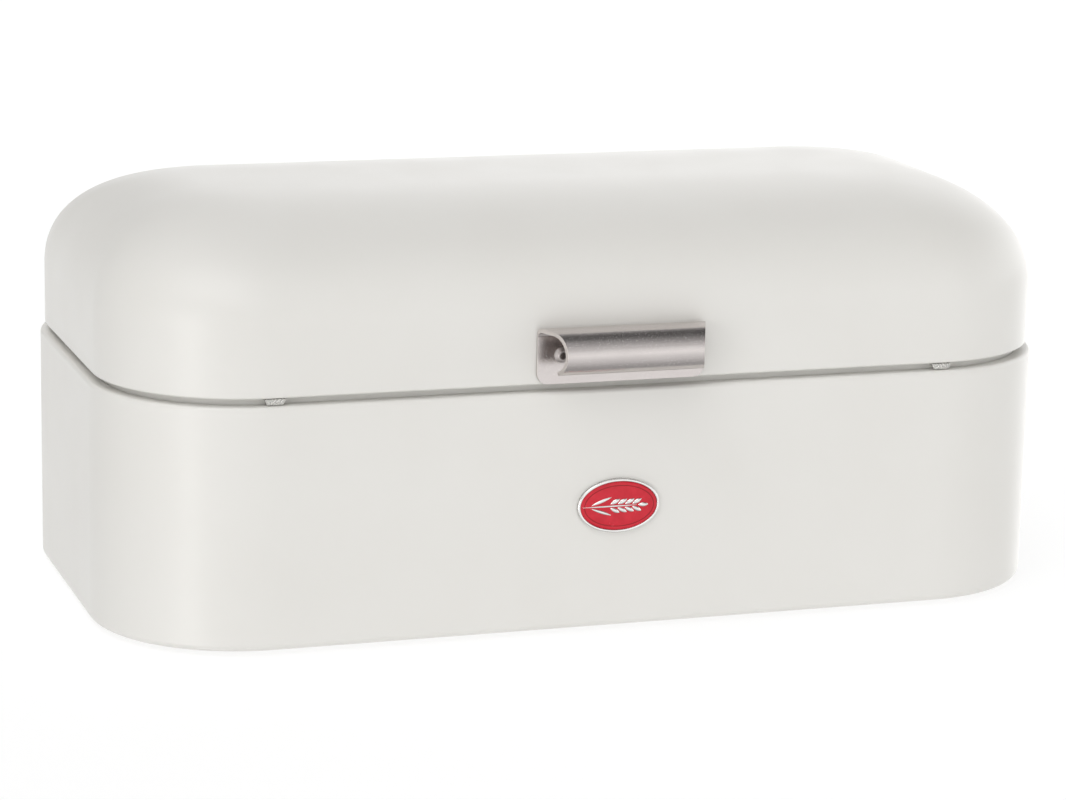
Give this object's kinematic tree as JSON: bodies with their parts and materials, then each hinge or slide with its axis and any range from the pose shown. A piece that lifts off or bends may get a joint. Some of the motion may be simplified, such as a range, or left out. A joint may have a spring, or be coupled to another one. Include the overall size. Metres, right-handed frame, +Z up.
{
  "type": "bread box",
  "caption": "Sheet-steel bread box: a tub with round corners and a domed lid that swings back on butt hinges, with a curled strip handle in front.",
  "frame": {"origin": "bottom centre of the whole object's box, on the surface that the feet stand on", "axes": "+X to the object's right as its front is faced (its width), +Y from front to back, +Z up"},
  "size_m": [0.42, 0.2514, 0.1772],
  "materials": {
    "cream_paint": "satin cream powder coat on sheet steel",
    "satin_nickel": "satin nickel plate",
    "zinc_steel": "bright zinc plate",
    "foot_rubber": "matt moulded rubber",
    "bumper_silicone": "soft translucent silicone",
    "red_enamel": "glossy red enamel"
  },
  "bodies": {
    "tub": {"body_shell": "cream_paint", "rim_collar": "cream_paint", "base_pan": "cream_paint", "foot_front_left": "foot_rubber", "foot_front_right": "foot_rubber", "foot_back_left": "foot_rubber", "foot_back_right": "foot_rubber", "lid_bumper_left": "bumper_silicone", "lid_bumper_right": "bumper_silicone", "badge_plate": "satin_nickel", "badge_inlay": "red_enamel", "body_hinge_leaf_left": "zinc_steel", "body_hinge_leaf_right": "zinc_steel", "hinge_pin_left": "zinc_steel", "hinge_pin_right": "zinc_steel", "body_leaf_rivet_left_inner": "zinc_steel", "body_leaf_rivet_left_outer": "zinc_steel", "body_leaf_rivet_right_inner": "zinc_steel", "body_leaf_rivet_right_outer": "zinc_steel"},
    "lid": {"lid_shell": "cream_paint", "lid_handle": "satin_nickel", "handle_rivet_left": "satin_nickel", "handle_rivet_right": "satin_nickel", "lid_hinge_leaf_left": "zinc_steel", "lid_hinge_leaf_right": "zinc_steel", "lid_leaf_rivet_left_inner": "zinc_steel", "lid_leaf_rivet_left_outer": "zinc_steel", "lid_leaf_rivet_right_inner": "zinc_steel", "lid_leaf_rivet_right_outer": "zinc_steel"}
  },
  "joints": [
    {"name": "lid_hinge", "type": "hinge", "parent": "tub", "child": "lid", "pos_m": [0, 0.1197, 0.1055], "axis": [-1, 0, 0], "range_deg": [0, 100]}
  ]
}
